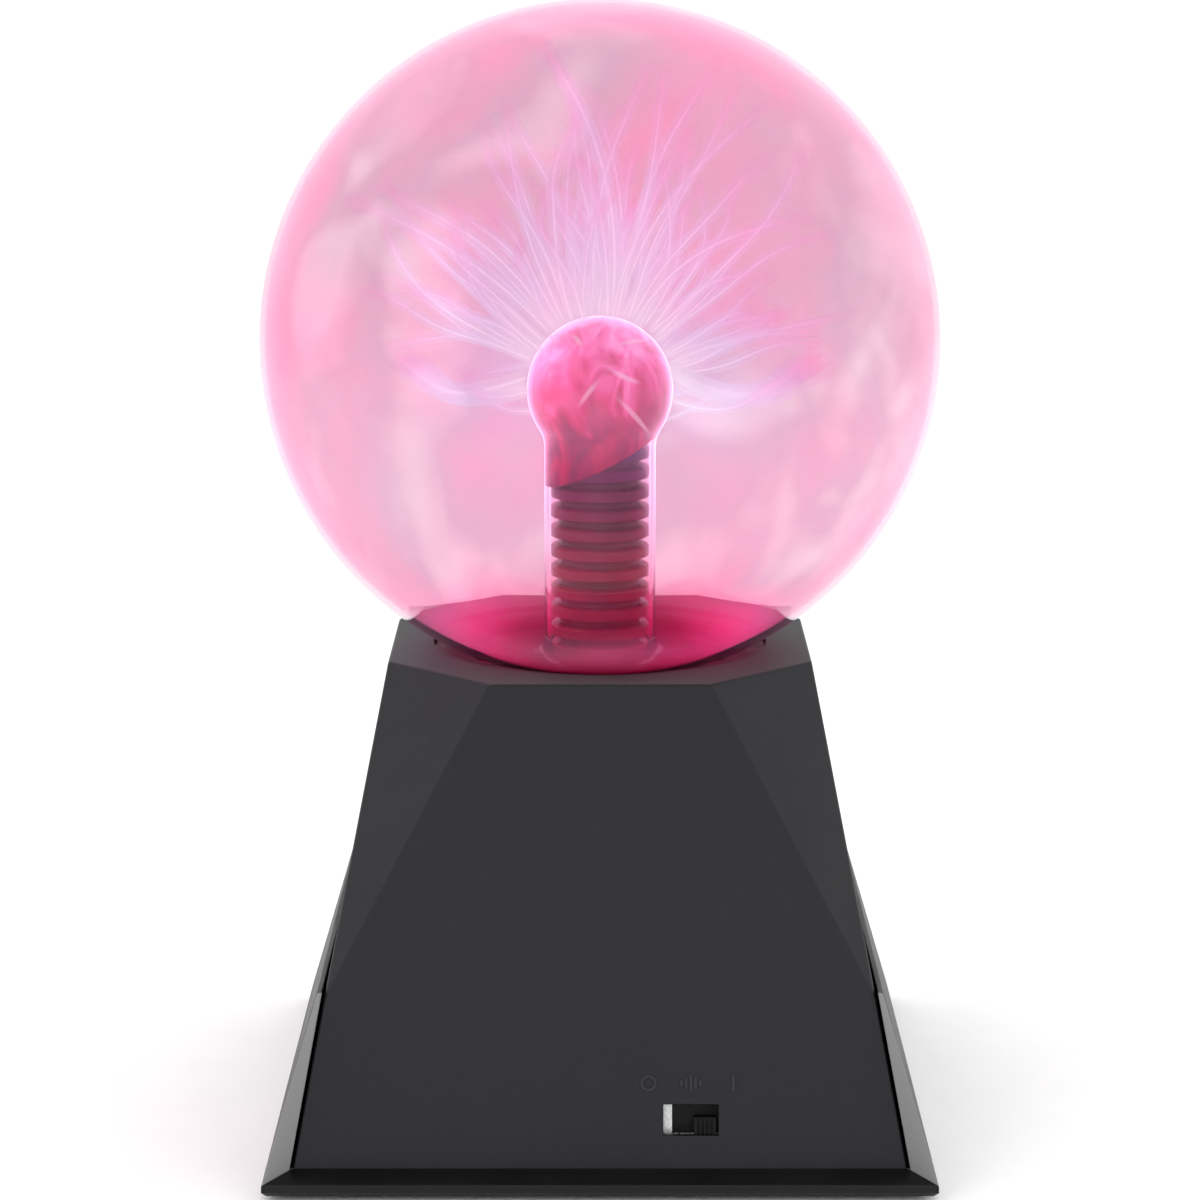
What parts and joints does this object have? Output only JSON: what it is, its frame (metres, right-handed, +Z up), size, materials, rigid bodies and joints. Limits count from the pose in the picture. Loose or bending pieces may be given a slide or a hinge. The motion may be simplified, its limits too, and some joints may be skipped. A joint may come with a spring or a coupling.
{
  "type": "plasma ball",
  "caption": "Desk plasma ball: a sealed glass globe with a central electrode on a tapered plastic base, with a slide switch and a power inlet.",
  "frame": {"origin": "centre of the footprint, on the surface that the feet stand on", "axes": "+Z up through the globe's centre; the front, with the slide switch, faces -Y; the power inlet is at the back, +Y; +X is to the right as seen from the front"},
  "size_m": [0.15, 0.15, 0.2485],
  "materials": {
    "globe_glass": "clear soda glass, blown, lit pink from inside",
    "electrode_glass": "clear glass tube and bulb with a glowing coating",
    "sleeve_rubber": "corrugated conductive rubber",
    "contact_metal": "fine steel wool",
    "plug_rubber": "moulded",
    "lead_rubber": "silicone insulation",
    "gasket_rubber": "soft moulded",
    "ring_plastic": "moulded",
    "screw_steel": "zinc plated",
    "housing_plastic": "fine-textured ABS with a smooth top face",
    "plinth_plastic": "polished ABS",
    "foot_rubber": "matt",
    "board_laminate": "solder-masked glass-fibre laminate",
    "ferrite": "pressed and ground ferrite",
    "bobbin_plastic": "moulded",
    "copper_wire": "enamelled copper wire",
    "coil_resin": "cast epoxy",
    "sink_aluminium": "extruded",
    "package_plastic": "moulded epoxy",
    "can_sleeve": "shrink sleeve over an aluminium can",
    "film_resin": "dipped epoxy",
    "resistor_lacquer": "lacquered",
    "capsule_aluminium": "drawn",
    "jack_plastic": "moulded",
    "contact_brass": "nickel plated",
    "nut_steel": "nickel plated",
    "wire_pvc": "extruded insulation",
    "case_steel": "tin plated sheet",
    "phenolic": "pressed phenolic paper",
    "knob_plastic": "moulded, ridged"
  },
  "bodies": {
    "base": {"glass_globe": "globe_glass", "electrode_stem": "electrode_glass", "ribbed_sleeve": "sleeve_rubber", "contact_wool": "contact_metal", "stem_plug": "plug_rubber", "hv_lead": "lead_rubber", "globe_gasket": "gasket_rubber", "clamp_ring": "ring_plastic", "clamp_screws": "screw_steel", "housing": "housing_plastic", "plinth": "plinth_plastic", "rubber_feet": "foot_rubber", "base_screws": "screw_steel", "circuit_board": "board_laminate", "board_screws": "screw_steel", "transformer_core": "ferrite", "transformer_base": "bobbin_plastic", "primary_winding": "copper_wire", "hv_winding": "coil_resin", "heatsink": "sink_aluminium", "transistor": "package_plastic", "heatsink_screw": "screw_steel", "electrolytic_capacitors": "can_sleeve", "film_capacitor": "film_resin", "resistors": "resistor_lacquer", "control_chip": "package_plastic", "microphone": "capsule_aluminium", "jack_body": "jack_plastic", "jack_pin": "contact_brass", "jack_contact": "contact_brass", "jack_nut": "nut_steel", "jack_wires": "wire_pvc", "switch_case": "case_steel", "switch_base": "phenolic", "switch_terminals": "contact_brass", "switch_screws": "screw_steel", "switch_wires": "wire_pvc"},
    "switch_slider": {"switch_knob": "knob_plastic", "switch_wiper": "contact_brass"}
  },
  "joints": [
    {"name": "switch_slide", "type": "slide", "parent": "base", "child": "switch_slider", "axis": [1, 0, 0], "range_m": [-0.004, 0]}
  ]
}
